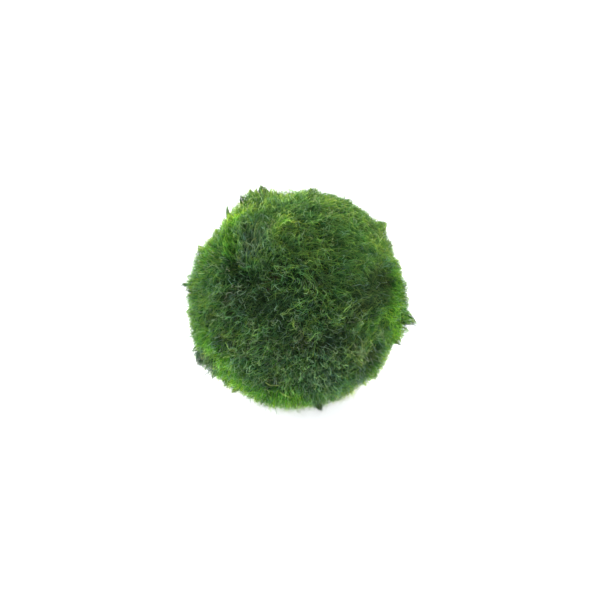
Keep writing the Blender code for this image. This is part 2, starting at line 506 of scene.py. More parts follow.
@dataclass(frozen=True)
class Filaments:
    """The sizes of one kind of filament."""

    name: str
    count: int
    joints: int
    travel: float
    root_depth: float
    tip_depth: float
    tip_scatter: float
    rise: float
    bend: float
    thickness: float = 0.00006
    lie: Lie = Lie.TANGLED
    stray: float = 0.0
    wave: float = 0.0
    clump_gap: float = 0.0
    clump_pull: float = 0.0
    clump_dome: float = 0.0
    hollow_drop: float = 0.0
    hollow_thinning: float = 0.0
    sleeking: float = 0.0
    sleek_drop: float = 0.0
    curly_drop: float = 0.0
    gap_drop: float = 0.0
    tall_lift: float = 0.0
    short_drop: float = 0.0
    even_share: float = 1.0
    areas: tuple[Area, ...] = ()
    seed: int = 10


@dataclass
class Strands:
    """The laid-out paths of many filaments."""

    paths: np.ndarray
    outward: np.ndarray
    side: np.ndarray
    thickness: np.ndarray
    outer_glow: np.ndarray
    thread: np.ndarray
    tuft: np.ndarray


class FilamentMaker:
    """Lays filaments over the ball and makes meshes of them."""

    SIDES = 3
    TAPER = 0.75
    TAPER_POWER = 1.6
    FLOOR_GAP = 0.00015
    SPOTS_EACH = 3
    SPOT_JITTER = 0.012
    CLUMP_SEED = 100
    CLUMP_JITTER = 0.25
    CLUMP_EDGE = 0.6
    PULL_POWER = 1.4
    SCATTER_POWER = 1.5
    TRAVEL_RANGE = (0.6, 1.4)
    THICKNESS_RANGE = (0.7, 1.25)
    RELIEF = 0.0006
    OUTER_GLOW_DEPTH = 0.0012
    WAVES_ALONG = 1.3
    SLEEK_RISE = 2.4
    SLEEK_TRAVEL = 3.4
    SLEEK_PULL_LOSS = 0.85
    SLEEK_DEPTH_LOSS = 0.5
    SLEEK_SCATTER_LOSS = 0.6
    SLEEK_STRAY_LOSS = 0.82
    SLEEK_BEND_LOSS = 0.75
    MAP_COLUMNS = 256
    STRIP_LOW = 0.06
    STRIP_HEIGHT = 0.88

    def __init__(self, reach: Reach, combing: Combing, patchwork: Patchwork) -> None:
        """Keeps what the filaments follow.

        Args:
            reach: How far the ball reaches in every direction.
            combing: The way the filaments lie.
            patchwork: Where the ball differs in colour and in its pile.
        """
        self.reach = reach
        self.combing = combing
        self.patchwork = patchwork

    def laid(self, kind: Filaments) -> Strands:
        """Lays out every filament of one kind.

        Args:
            kind: The sizes of the filaments.

        Returns:
            Their paths.
        """
        rng = np.random.default_rng(kind.seed)
        roots = self._roots(kind, rng)
        clumps, pull, aside = self._clumps(kind, roots)
        shades = np.random.default_rng(self.CLUMP_SEED).random(clumps.max() + 1)
        tuft = shades[clumps] if kind.clump_gap else rng.random(kind.count)
        sleek = kind.sleeking * self.patchwork.share("sleek", roots)
        facing = self._walked(kind, roots, sleek, rng)
        shares = np.linspace(0, 1, kind.joints + 1)
        pull *= (1 - self.SLEEK_PULL_LOSS * sleek)[:, None]
        facing = unit(facing + pull[:, None] * (shares[:, None] ** self.PULL_POWER))
        cut = self._cut(kind, roots, sleek, aside, rng)
        fine, smooth = self.reach.fine(facing), self.reach.smooth(facing)
        inner = smooth - (kind.root_depth * (1 - self.SLEEK_DEPTH_LOSS * sleek))[:, None]
        outer = np.minimum(fine, smooth + self.RELIEF) - cut[:, None]
        rise = kind.rise + sleek[:, None] * (self.SLEEK_RISE - kind.rise)
        risen = 1 - (1 - shares) ** rise
        lift = kind.wave * np.sin(WHOLE_TURN * (shares * self.WAVES_ALONG + rng.random((kind.count, 1))))
        radius = inner + (outer - inner) * risen + lift * risen
        paths = self.reach.middle + radius[..., None] * facing
        paths[..., 2] = np.maximum(paths[..., 2], self.FLOOR_GAP)
        thickness = kind.thickness * rng.uniform(*self.THICKNESS_RANGE, kind.count)
        side = rng.normal(0, 1, (kind.count, 3))
        # Filaments whose tips reach the outer form get a brighter tip colour: painted light for the bright
        # lit fringe.
        outer_glow = np.clip(1 - (cut - kind.tip_depth) / self.OUTER_GLOW_DEPTH, 0, 1)
        return Strands(paths, facing, side, thickness, outer_glow, rng.random(kind.count), tuft)

    def _cut(
        self,
        kind: Filaments,
        roots: np.ndarray,
        sleek: np.ndarray,
        aside: np.ndarray,
        rng: np.random.Generator,
    ) -> np.ndarray:
        """Tells how far below the outer form each filament's tip stays.

        Args:
            kind: The sizes of the filaments.
            roots: The direction of each filament's root.
            sleek: How much each filament is laid down along the combing, from 0 to 1.
            aside: How far from the middle of its clump each filament stands.
            rng: The source of chance.

        Returns:
            One depth for each filament.
        """
        patches = self.patchwork
        scatter = kind.tip_scatter * (1 - self.SLEEK_SCATTER_LOSS * sleek)
        cut = kind.tip_depth + scatter * rng.random(kind.count) ** self.SCATTER_POWER
        cut += kind.clump_dome * aside**2
        cut += kind.hollow_drop * patches.share("hollowshade", roots)
        cut += kind.sleek_drop * sleek + kind.curly_drop * patches.share("curly", roots)
        cut += kind.gap_drop * patches.gaps(roots)
        cut -= kind.tall_lift * patches.share("tall", roots)
        return cut + kind.short_drop * patches.share("short", roots)

    def _roots(self, kind: Filaments, rng: np.random.Generator) -> np.ndarray:
        """Picks where the filaments are rooted.

        Args:
            kind: The sizes of the filaments.
            rng: The source of chance.

        Returns:
            One direction for each filament.
        """
        spots = even_directions(kind.count * self.SPOTS_EACH)
        spots = unit(spots + rng.normal(0, self.SPOT_JITTER, spots.shape))
        weight = weighed(spots, kind.areas, kind.even_share)
        hollowshade = self.patchwork.share("hollowshade", spots)
        weight = np.clip(weight * (1 - kind.hollow_thinning * hollowshade), 0, None)
        return spots[rng.choice(len(spots), kind.count, replace=False, p=weight / weight.sum())]

    def _clumps(self, kind: Filaments, roots: np.ndarray) -> tuple[np.ndarray, np.ndarray, np.ndarray]:
        """Finds the clump that each filament leans into.

        Args:
            kind: The sizes of the filaments.
            roots: The direction of each filament's root.

        Returns:
            The clump's number for each filament, how far its tip is pulled over, and how far from the
            clump's middle it stands, where 1 is its edge.
        """
        if not kind.clump_gap:
            return np.zeros(len(roots), int), np.zeros_like(roots), np.zeros(len(roots))
        count = int(4 * math.pi * (BALL_RADIUS / kind.clump_gap) ** 2)
        rng = np.random.default_rng(self.CLUMP_SEED)
        centres = even_directions(count)
        jitter = self.CLUMP_JITTER * kind.clump_gap / BALL_RADIUS
        centres = unit(centres + rng.normal(0, jitter, centres.shape))
        tree = KDTree(count)
        for number, centre in enumerate(centres):
            tree.insert(Vector(centre), number)
        tree.balance()
        nearest = np.array([tree.find(Vector(root))[1] for root in roots])
        over = centres[nearest] - roots
        aside = np.linalg.norm(over, axis=1) * BALL_RADIUS / (self.CLUMP_EDGE * kind.clump_gap)
        return nearest, kind.clump_pull * over, np.clip(aside, 0, 1.5)

    def _walked(
        self, kind: Filaments, roots: np.ndarray, sleek: np.ndarray, rng: np.random.Generator
    ) -> np.ndarray:
        """Walks each filament over the ball from its root.

        Args:
            kind: The sizes of the filaments.
            roots: The direction of each filament's root.
            sleek: How much each filament is laid down along the combing, from 0 to 1.
            rng: The source of chance.

        Returns:
            The direction to each joint of each filament.
        """
        if kind.lie is Lie.COMBED:
            start = rng.normal(0, kind.stray, kind.count) * (1 - self.SLEEK_STRAY_LOSS * sleek)
        else:
            start = rng.uniform(-math.pi, math.pi, kind.count)
        bend = rng.normal(0, kind.bend, kind.count) / kind.joints * (1 - self.SLEEK_BEND_LOSS * sleek)
        stride = kind.travel * rng.uniform(*self.TRAVEL_RANGE, kind.count) / kind.joints / BALL_RADIUS
        stride *= 1 + self.SLEEK_TRAVEL * sleek
        here = roots
        facing = [here]
        for joint in range(kind.joints):
            angle = start + bend * joint
            lie = self.combing.at(here)
            turned = np.cos(angle)[:, None] * lie + np.sin(angle)[:, None] * np.cross(here, lie)
            here = unit(here + stride[:, None] * turned)
            facing.append(here)
        return np.stack(facing, axis=1)

    def mesh(self, name: str, strands: Strands) -> bpy.types.Mesh:
        """Makes one mesh of tapered closed tubes.

        Args:
            name: The mesh's name.
            strands: The paths that the tubes follow.

        Returns:
            The mesh, with its masks as attributes and a map with a strip for each filament.
        """
        count, points = strands.paths.shape[:2]
        shares = np.linspace(0, 1, points)
        places = self._tube_places(strands, shares)
        per_tube = places.shape[1]
        corners, starts = self._tube_faces(points)
        offsets = np.arange(count)[:, None]
        all_corners = (corners[None] + per_tube * offsets).ravel()
        all_starts = (starts[None] + len(corners) * offsets).ravel()
        mesh = bpy.data.meshes.new(name)
        mesh.vertices.add(count * per_tube)
        mesh.vertices.foreach_set("co", places.astype(np.float32).ravel())
        mesh.loops.add(len(all_corners))
        mesh.loops.foreach_set("vertex_index", all_corners.astype(np.int32))
        mesh.polygons.add(len(all_starts))
        mesh.polygons.foreach_set("loop_start", all_starts.astype(np.int32))
        mesh.update(calc_edges=True)
        along = np.append(np.repeat(shares[:-1], self.SIDES), 1.0)
        patches, middles = self.patchwork, strands.outward[:, points // 2]
        masks = {"outer_glow": strands.outer_glow, "thread": strands.thread, "tuft": strands.tuft}
        # The mask of the sunken gaps between tufts darkens the filaments' colour there as painted shade.
        masks |= {"drift": patches.drift(middles), "gap": patches.gaps(middles)}
        masks |= {label: patches.share(label, middles) for label in patches.COLOURED}
        self._mask(mesh, "along", np.tile(along, count))
        for label, values in masks.items():
            self._mask(mesh, label, np.repeat(values, per_tube))
        strips = self._strips(count, along)[all_corners]
        mesh.uv_layers.new(name="OFBake").uv.foreach_set("vector", strips.astype(np.float32).ravel())
        mesh.shade_smooth()
        return mesh

    def _tube_places(self, strands: Strands, shares: np.ndarray) -> np.ndarray:
        """Places the vertices of every tube: a ring at each joint but the last, and the tip.

        Args:
            strands: The paths that the tubes follow.
            shares: How far along its path each joint is, from 0 to 1.

        Returns:
            The vertices of each filament.
        """
        ahead = unit(np.gradient(strands.paths, axis=1))
        fixed = unit(np.cross(strands.paths[:, -1] - strands.paths[:, 0], strands.side))
        across = unit(np.cross(ahead, fixed[:, None]))
        over = np.cross(ahead, across)
        width = strands.thickness[:, None] * (1 - shares[None, :-1] ** self.TAPER_POWER * self.TAPER)
        turns = np.arange(self.SIDES) / self.SIDES * WHOLE_TURN
        around = (
            np.cos(turns)[:, None] * across[:, :-1, None, :]
            + np.sin(turns)[:, None] * over[:, :-1, None, :]
        )
        rings = strands.paths[:, :-1, None, :] + width[..., None, None] * around
        return np.concatenate([rings.reshape(len(rings), -1, 3), strands.paths[:, -1:, :]], axis=1)

    def _tube_faces(self, points: int) -> tuple[np.ndarray, np.ndarray]:
        """Lists the faces of one tube, which has a closed root and a pointed tip.

        Args:
            points: How many points its path has.

        Returns:
            The vertex of each face corner, and the first corner of each face.
        """
        sides = self.SIDES
        faces = [list(range(sides))[::-1]]
        for ring in range(points - 2):
            low, high = ring * sides, (ring + 1) * sides
            for side in range(sides):
                beside = (side + 1) % sides
                faces.append([low + side, low + beside, high + beside, high + side])
        low, tip = (points - 2) * sides, (points - 1) * sides
        faces += [[low + side, low + (side + 1) % sides, tip] for side in range(sides)]
        lengths = np.array([len(face) for face in faces])
        starts = np.concatenate([[0], np.cumsum(lengths)[:-1]])
        return np.concatenate([np.array(face) for face in faces]), starts

    @staticmethod
    def _mask(mesh: bpy.types.Mesh, name: str, values: np.ndarray) -> None:
        """Stores one number for each vertex under a name."""
        layer = mesh.attributes.new(name, "FLOAT", "POINT")
        layer.data.foreach_set("value", values.astype(np.float32))

    def _strips(self, count: int, along: np.ndarray) -> np.ndarray:
        """Gives each filament a strip of the map, so that its shades can be kept in an image.

        Args:
            count: How many filaments there are.
            along: How far along the filament each of its vertices is, from 0 to 1.

        Returns:
            The place on the map of every vertex of every filament.
        """
        rows = math.ceil(count / self.MAP_COLUMNS)
        side = np.append(np.tile(np.linspace(0.1, 0.9, self.SIDES), len(along) // self.SIDES), 0.5)
        number = np.arange(count)
        left = (number % self.MAP_COLUMNS)[:, None] + side[None]
        low = (number // self.MAP_COLUMNS)[:, None] + self.STRIP_LOW + self.STRIP_HEIGHT * along[None]
        return np.stack([left / self.MAP_COLUMNS, low / rows], axis=-1).reshape(-1, 2)


class Wiring:
    """Places shader nodes in a tree and links them."""

    def __init__(self, tree: bpy.types.NodeTree) -> None:
        """Starts on a tree, which is emptied."""
        self.tree = tree
        tree.nodes.clear()

    def feed(self, target: bpy.types.NodeSocket, value: object) -> None:
        """Links a socket to an input, or sets a plain value on it.

        Args:
            target: The input.
            value: The socket or the plain value.
        """
        if isinstance(value, bpy.types.NodeSocket):
            self.tree.links.new(value, target)
        else:
            target.default_value = value

    def feed_named(self, node: bpy.types.Node, **values: object) -> bpy.types.Node:
        """Links or sets the inputs of a node by name.

        Args:
            node: The node.
            values: Its inputs, with underscores for the spaces in their names.

        Returns:
            The same node.
        """
        for name, value in values.items():
            self.feed(node.inputs[name.replace("_", " ")], value)
        return node

    def node(self, kind: str, *values: object, **settings: object) -> bpy.types.Node:
        """Places a node.

        Args:
            kind: The node's type name in Blender.
            values: Its first inputs, as sockets or plain values.
            settings: Properties to set on it.

        Returns:
            The node.
        """
        made = self.tree.nodes.new(kind)
        for name, value in settings.items():
            setattr(made, name, value)
        for socket, value in zip(made.inputs, values):
            self.feed(socket, value)
        return made

    def sum_up(self, operation: str, *values: object) -> bpy.types.NodeSocket:
        """Does arithmetic on numbers, with the operation's name in the Math node."""
        return self.node("ShaderNodeMath", *values, operation=operation).outputs[0]

    def mask(self, name: str) -> bpy.types.NodeSocket:
        """Reads a mask that the mesh keeps at its vertices."""
        return self.node("ShaderNodeAttribute", attribute_name=name).outputs["Fac"]

    def eased(self, value: object, low: object, high: object) -> bpy.types.NodeSocket:
        """Turns the range from low to high into 0 to 1 with soft ends."""
        made = self.node("ShaderNodeMapRange", value, low, high, interpolation_type="SMOOTHSTEP")
        return made.outputs["Result"]

    def blend(self, share: object, first: object, second: object, how: str = "MIX") -> bpy.types.NodeSocket:
        """Mixes two colours.

        Args:
            share: How much of the second colour, as a socket or a number.
            first: The first colour.
            second: The second colour.
            how: The mix's blend type.

        Returns:
            The mixed colour's socket.
        """
        made = self.node("ShaderNodeMix", data_type="RGBA", blend_type=how, clamp_factor=True)
        self.feed(made.inputs[0], share)
        self.feed(made.inputs[6], first)
        self.feed(made.inputs[7], second)
        return made.outputs[2]

    def bumped(self, height: bpy.types.NodeSocket, strength: float, distance: float) -> bpy.types.NodeSocket:
        """Turns a height into a normal."""
        made = self.node("ShaderNodeBump")
        return self.feed_named(made, Height=height, Strength=strength, Distance=distance).outputs[0]

    def group(self, tree: bpy.types.NodeTree, **values: object) -> bpy.types.Node:
        """Places a shared group and links or sets its inputs by name."""
        return self.feed_named(self.node("ShaderNodeGroup", node_tree=tree), **values)

    def show(self, surface: bpy.types.Node, kind: str = "Material") -> None:
        """Puts a shader out as the surface of the material or the world."""
        self.feed_named(self.node(f"ShaderNodeOutput{kind}"), Surface=surface.outputs[0])


def blank_material(name: str) -> tuple[bpy.types.Material, Wiring]:
    """Makes an empty material.

    Args:
        name: Its name.

    Returns:
        The material, and the wiring of its nodes.
    """
    made = bpy.data.materials.new(name)
    made.use_nodes = True
    return made, Wiring(made.node_tree)


class SharedEffects:
    """The shader node groups that the finishes share."""

    DRIFTS = ("cool", "warm")
    TINTS = ("gap", "freshglow", "goldenglow", "sage", "brown", "hollowshade")
    SHADE_SKEW = 2.5
    OWN_SHADE = 0.85
    TUFT_SHADE = 0.40
    CELL_SHADE = 0.05
    BEND_SCALE = 500.0
    BEND_REACH = (0.004, 0.004, 0.004)
    FIBRE_EDGE = 0.25

    def __init__(self) -> None:
        """Builds the groups."""
        self.patches = self._patch_group()
        self.blotches = self._blotch_group()
        self.strand = self._strand_group()
        self.wool = self._wool_group()

    @staticmethod
    def _started(
        name: str, inputs: dict[str, float | Colour], **outputs: str
    ) -> tuple[Wiring, bpy.types.NodeOutputs, bpy.types.Node]:
        """Starts a group with its sockets.

        Args:
            name: The group's name.
            inputs: The start value of each input, a number or a colour.
            outputs: The socket type of each output.

        Returns:
            The wiring, the sockets of what is given to the group, and the node that takes its results.
        """
        tree = bpy.data.node_groups.new(name, "ShaderNodeTree")
        wiring = Wiring(tree)
        for label, value in inputs.items():
            kind = COLOUR_SOCKET if isinstance(value, tuple) else VALUE_SOCKET
            tree.interface.new_socket(label, in_out="INPUT", socket_type=kind).default_value = value
        for label, kind in outputs.items():
            tree.interface.new_socket(label, in_out="OUTPUT", socket_type=kind)
        return wiring, wiring.node("NodeGroupInput").outputs, wiring.node("NodeGroupOutput")

    def _patch_group(self) -> bpy.types.NodeTree:
        """Builds the tinting of a colour by where on the ball its filament grows. Some tints are painted
        shade in hollows and gaps, and some are painted light along the outline.

        Returns:
            The group.
        """
        tints = {f"{label.capitalize()} tint": WHITE for label in self.DRIFTS + self.TINTS}
        inputs = {"Color": WHITE, **tints, "Brightest": (0.85, 1.0, 0.4, 1)}
        wiring, given, result = self._started("patchwork_tint", inputs, Color=COLOUR_SOCKET)
        drifted = wiring.blend(wiring.mask("drift"), given["Cool tint"], given["Warm tint"])
        colour = wiring.blend(1.0, given["Color"], drifted, "MULTIPLY")
        for label in self.TINTS:
            tint = given[f"{label.capitalize()} tint"]
            colour = wiring.blend(wiring.mask(label), colour, tint, "MULTIPLY")
        wiring.feed_named(result, Color=wiring.blend(1.0, colour, given["Brightest"], "DARKEN"))
        return wiring.tree

    def _blotch_group(self) -> bpy.types.NodeTree:
        """Builds irregular patches: 1 inside a patch and 0 outside.

        Returns:
            The group.
        """
        inputs = {"Patches per metre": 150.0, "Shift": 0.0, "From": 0.5, "To": 0.65}
        wiring, given, result = self._started("blotches", inputs, Mask=VALUE_SOCKET)
        cloudy = wiring.node("ShaderNodeTexNoise", noise_dimensions="4D")
        place = wiring.node("ShaderNodeTexCoord").outputs["Object"]
        wiring.feed_named(cloudy, Vector=place, Scale=given["Patches per metre"], W=given["Shift"])
        wiring.feed_named(cloudy, Detail=3.0, Roughness=0.6)
        wiring.feed_named(result, Mask=wiring.eased(cloudy.outputs[0], given["From"], given["To"]))
        return wiring.tree

    def _strand_group(self) -> bpy.types.NodeTree:
        """Builds a filament's colour from root to tip, with its own shade and the joints of its cells. Its
        dark root colour is painted shade deep in the pile.

        Returns:
            The group.
        """
        inputs = {"Root": WHITE, "Body": WHITE, "Tip": WHITE, "Young tip": WHITE}
        inputs |= {"Root end": 0.45, "Tip start": 0.55, "Unevenness": 0.3, "Cells": 24.0}
        wiring, given, result = self._started(
            "filament_colour", inputs, Color=COLOUR_SOCKET, Shade=VALUE_SOCKET, Height=VALUE_SOCKET
        )
        along = wiring.mask("along")
        colour = wiring.blend(wiring.eased(along, 0.0, given["Root end"]), given["Root"], given["Body"])
        # Tips that reach the outer form take a brighter colour as painted light.
        tip = wiring.blend(wiring.mask("outer_glow"), given["Tip"], given["Young tip"])
        colour = wiring.blend(wiring.eased(along, given["Tip start"], 1.0), colour, tip)
        skewed = wiring.sum_up("POWER", wiring.mask("thread"), self.SHADE_SKEW)
        shared = wiring.sum_up("MULTIPLY", wiring.mask("tuft"), self.TUFT_SHADE)
        own = wiring.sum_up("MULTIPLY_ADD", skewed, self.OWN_SHADE, shared)
        centred = wiring.sum_up("MULTIPLY_ADD", own, 2.0, -1.0)
        gain = wiring.sum_up("MULTIPLY_ADD", centred, given["Unevenness"], 1.0)
        cell = wiring.sum_up("SINE", wiring.sum_up("MULTIPLY", along, given["Cells"]))
        gain = wiring.sum_up("MULTIPLY_ADD", cell, self.CELL_SHADE, gain)
        scaled = wiring.node("ShaderNodeVectorMath", colour, operation="SCALE")
        wiring.feed_named(scaled, Scale=gain)
        wiring.feed_named(result, Color=scaled.outputs[0], Shade=own, Height=cell)
        return wiring.tree

    def _wool_group(self) -> bpy.types.NodeTree:
        """Builds matted wool: small crooked tufts of fibre with gaps between them, which the mat's finish
        darkens as painted shade.

        Returns:
            The group.
        """
        inputs = {"Fibres per metre": 2500.0}
        wiring, given, result = self._started("matted_wool", inputs, Mask=VALUE_SOCKET, Height=VALUE_SOCKET)
        place = wiring.node("ShaderNodeTexCoord").outputs["Object"]
        bent = wiring.feed_named(wiring.node("ShaderNodeTexNoise"), Vector=place, Scale=self.BEND_SCALE)
        push = (bent.outputs["Color"], self.BEND_REACH, place)
        pushed = wiring.node("ShaderNodeVectorMath", *push, operation="MULTIPLY_ADD")
        fibres = wiring.node("ShaderNodeTexVoronoi", feature="DISTANCE_TO_EDGE")
        wiring.feed_named(fibres, Vector=pushed.outputs[0], Scale=given["Fibres per metre"])
        mask = wiring.eased(fibres.outputs["Distance"], 0.0, self.FIBRE_EDGE)
        wiring.feed_named(result, Mask=mask, Height=mask)
        return wiring.tree


@dataclass(frozen=True)
class FilamentFinish:
    """The finish of one kind of filament, with the tint that each sort of patch gives it."""

    name: str
    # Dark root colour: painted shade deep in the pile.
    root: Colour
    body: Colour
    tip: Colour
    # Colour of tips that reach the outer form: brighter, as painted light for the lit fringe.
    outer_glow_tip: Colour
    withered: Colour
    # Tint of the sunken hollows: painted shade.
    hollowshade: Colour = (0.56, 0.52, 0.58, 1)
    # Tint of the olive-gold patches: the crown's own colour, and painted light along the outline.
    goldenglow: Colour = (1.43, 1.24, 1.14, 1)
    # Tint of the fresher green patches: partly their own colour, partly painted light along the outline.
    freshglow: Colour = (1.18, 1.36, 0.72, 1)
    sage: Colour = (1.22, 1.00, 1.75, 1)
    brown: Colour = (1.30, 0.88, 1.15, 1)
    cool: Colour = (0.90, 0.99, 1.18, 1)
    warm: Colour = (1.14, 1.07, 1.02, 1)
    # Tint of the sunken gaps between tufts: painted shade.
    gap: Colour = (0.62, 0.66, 0.74, 1)
    root_end: float = 0.45
    tip_start: float = 0.5
    unevenness: float = 0.60
    roughness: float = 0.62
    roughness_range: float = 0.18
    withered_share: float = 0.22
    lets_through: float = 0.45

    def material(self, effects: SharedEffects) -> bpy.types.Material:
        """Makes the material.

        Args:
            effects: The shared shader groups.

        Returns:
            The material.
        """
        made, wiring = blank_material(self.name)
        strand = wiring.group(effects.strand, Root=self.root, Body=self.body, Tip=self.tip)
        wiring.feed_named(strand, Young_tip=self.outer_glow_tip, Root_end=self.root_end)
        wiring.feed_named(strand, Tip_start=self.tip_start, Unevenness=self.unevenness)
        labels = effects.DRIFTS + effects.TINTS
        tints = {f"{label.capitalize()}_tint": getattr(self, label) for label in labels}
        tinted = wiring.group(effects.patches, Color=strand.outputs["Color"], **tints)
        patch = wiring.group(effects.blotches, Patches_per_metre=260.0, Shift=9.0, From=0.58, To=0.72)
        wilted = wiring.sum_up("MULTIPLY", patch.outputs["Mask"], self.withered_share)
        colour = wiring.blend(wilted, tinted.outputs["Color"], self.withered)
        least = self.roughness - self.roughness_range / 2
        rough = wiring.sum_up("MULTIPLY_ADD", strand.outputs["Shade"], self.roughness_range, least)
        normal = wiring.bumped(strand.outputs["Height"], strength=0.2, distance=0.00003)
        shader = wiring.node("ShaderNodeBsdfPrincipled")
        wiring.feed_named(shader, Base_Color=colour, Roughness=rough, Normal=normal, Specular_IOR_Level=0.06)
        through = wiring.node("ShaderNodeBsdfTranslucent", colour)
        both = (self.lets_through, shader.outputs[0], through.outputs[0])
        wiring.show(wiring.node("ShaderNodeMixShader", *both))
        return made


@dataclass(frozen=True)
class FeltFinish:
    """The finish of the dark felted mat under the pile, whose gaps between fibre tufts are darkened as
    painted shade.
    """

    name: str = "felted_mat"
    # Colour of the gaps between fibre tufts: painted shade.
    fibre_gap_shade: Colour = (0.006, 0.018, 0.006, 1)
    fibre: Colour = (0.02, 0.06, 0.014, 1)
    brown: Colour = (0.03, 0.028, 0.012, 1)

    def material(self, effects: SharedEffects) -> bpy.types.Material:
        """Makes the material.

        Args:
            effects: The shared shader groups.

        Returns:
            The material.
        """
        made, wiring = blank_material(self.name)
        wool = wiring.group(effects.wool, Fibres_per_metre=2200.0)
        patch = wiring.group(effects.blotches, Patches_per_metre=180.0, Shift=4.0, From=0.5, To=0.7)
        colour = wiring.blend(wool.outputs["Mask"], self.fibre_gap_shade, self.fibre)
        colour = wiring.blend(patch.outputs["Mask"], colour, self.brown)
        normal = wiring.bumped(wool.outputs["Height"], strength=0.6, distance=0.0002)
        shader = wiring.node("ShaderNodeBsdfPrincipled")
        wiring.feed_named(shader, Base_Color=colour, Roughness=0.9, Normal=normal, Specular_IOR_Level=0.2)
        wiring.show(shader)
        return made


@dataclass
class FeltMat:
    """The matted body that the filaments grow out of."""

    depth: float = 0.0026
    divisions: int = 6
    unevenness: float = 0.0004
    bumps: float = 9.0
    floor_gap: float = 0.0001

    def build(self, reach: Reach) -> bpy.types.Mesh:
        """Makes the mat's mesh.

        Args:
            reach: How far the ball reaches in every direction.

        Returns:
            The mesh.
        """
        shape = bmesh.new()
        bmesh.ops.create_icosphere(shape, subdivisions=self.divisions, radius=1.0)
        facing = unit(np.array([vertex.co for vertex in shape.verts]))
        depth = self.depth + self.unevenness * cloud(facing, self.bumps, 0.0)
        places = reach.middle + (reach.smooth(facing) - depth)[:, None] * facing
        places[:, 2] = np.maximum(places[:, 2], self.floor_gap)
        for vertex, place in zip(shape.verts, places):
            vertex.co = place
        mesh = bpy.data.meshes.new("felt_mat")
        shape.to_mesh(mesh)
        shape.free()
        mesh.shade_smooth()
        return mesh


@dataclass
class PointedLocks:
    """The locks that stand out of the outline, with filaments drawn together at their tips."""

    filaments_each: int = 60
    root_radius: float = 0.0015
    root_depth: float = 0.0022
    thickness: float = 0.000065
    lean: float = 0.85
    stray: float = 0.00013
    upright_share: float = 0.55
    tip_unevenness: float = 0.85
    closing: float = 0.8
    joints: int = 4
    seed: int = 77
    locks: tuple[Lock, ...] = each(
        Lock,
        (351, 84, 0.0026, 1.15), (41, 85, 0.0011, 1.1), (62, 86, 0.0006), (82, 86, 0.0007, 0.6),
        (108, 85, 0.0006, 1.1), (113, 86, 0.0009, 0.7, 1.5), (119, 86, 0.0013, 0.7, 1.5),
        (130.5, 87, 0.0026, 0.55, 3.0), (142.5, 87, 0.0023, 0.5, 3.0), (153, 86, 0.0009, 0.7, 1.5),
        (172, 86, 0.0014, 0.7, 1.5), (186, 86, 0.0007), (205, 87, 0.0011, 0.6), (212, 88, 0.0009, 1.5),
        (222, 87, 0.0009, 0.6), (229, 88, 0.0010, 0.6, 1.5), (237, 86, 0.0010, 0.6, 1.5),
        (281, 86, 0.0010, 0.9), (315, 86, 0.0008), (338, 85, 0.0012, 0.7, 1.5),
    )

    def laid(self, maker: FilamentMaker) -> Strands:
        """Lays out the filaments of every lock.

        Args:
            maker: The maker, for the ball's reach and combing.

        Returns:
            Their paths.
        """
        rng = np.random.default_rng(self.seed)
        paths, outward, tufts = [], [], []
        for lock in self.locks:
            path, base = self._one(lock, maker, rng)
            paths.append(path)
            outward.append(np.broadcast_to(base[:, None], path.shape))
            tufts.append(np.full(len(path), rng.random()))
        paths = np.concatenate(paths)
        paths[..., 2] = np.maximum(paths[..., 2], maker.FLOOR_GAP)
        count = len(paths)
        thickness = self.thickness * rng.uniform(0.7, 1.2, count)
        side = rng.normal(0, 1, (count, 3))
        facing, tuft = np.concatenate(outward), np.concatenate(tufts)
        return Strands(paths, facing, side, thickness, np.zeros(count), rng.random(count), tuft)

    def _one(
        self, lock: Lock, maker: FilamentMaker, rng: np.random.Generator
    ) -> tuple[np.ndarray, np.ndarray]:
        """Lays out one lock, whose filaments stand side by side and close up towards its point.

        Args:
            lock: The lock.
            maker: The maker, for the ball's reach and combing.
            rng: The source of chance.

        Returns:
            The filaments' paths, and the direction to each one's root.
        """
        count = int(self.filaments_each * lock.width**1.5 * lock.density)
        reach = maker.reach
        facing = seen_at(lock.clock, lock.off_axis)
        lie = maker.combing.at(facing[None])[0]
        beside = np.cross(facing, lie)
        ring = np.sqrt(rng.random(count)) * self.root_radius * lock.width
        turn = rng.uniform(0, WHOLE_TURN, count)
        spread = (ring * np.cos(turn))[:, None] * lie + (ring * np.sin(turn))[:, None] * beside
        base = unit(facing * BALL_RADIUS + spread)
        root = reach.middle + (reach.smooth(base) - self.root_depth)[:, None] * base
        top = reach.middle + reach.smooth(facing[None])[0] * facing
        reached = 1 - self.tip_unevenness * rng.random((count, 1)) ** 1.5
        ends = top + lock.height * reached * (facing + self.lean * lie)
        ends += spread * (1 - reached) ** self.closing + rng.normal(0, self.stray, (count, 3))
        length = np.linalg.norm(ends - root, axis=1, keepdims=True)
        upright = root + self.upright_share * length * facing + rng.normal(0, 2 * self.stray, (count, 3))
        along = np.linspace(0, 1, self.joints + 1)[None, :, None]
        path = (1 - along) ** 2 * root[:, None] + along**2 * ends[:, None]
        path += 2 * along * (1 - along) * upright[:, None]
        return path, base


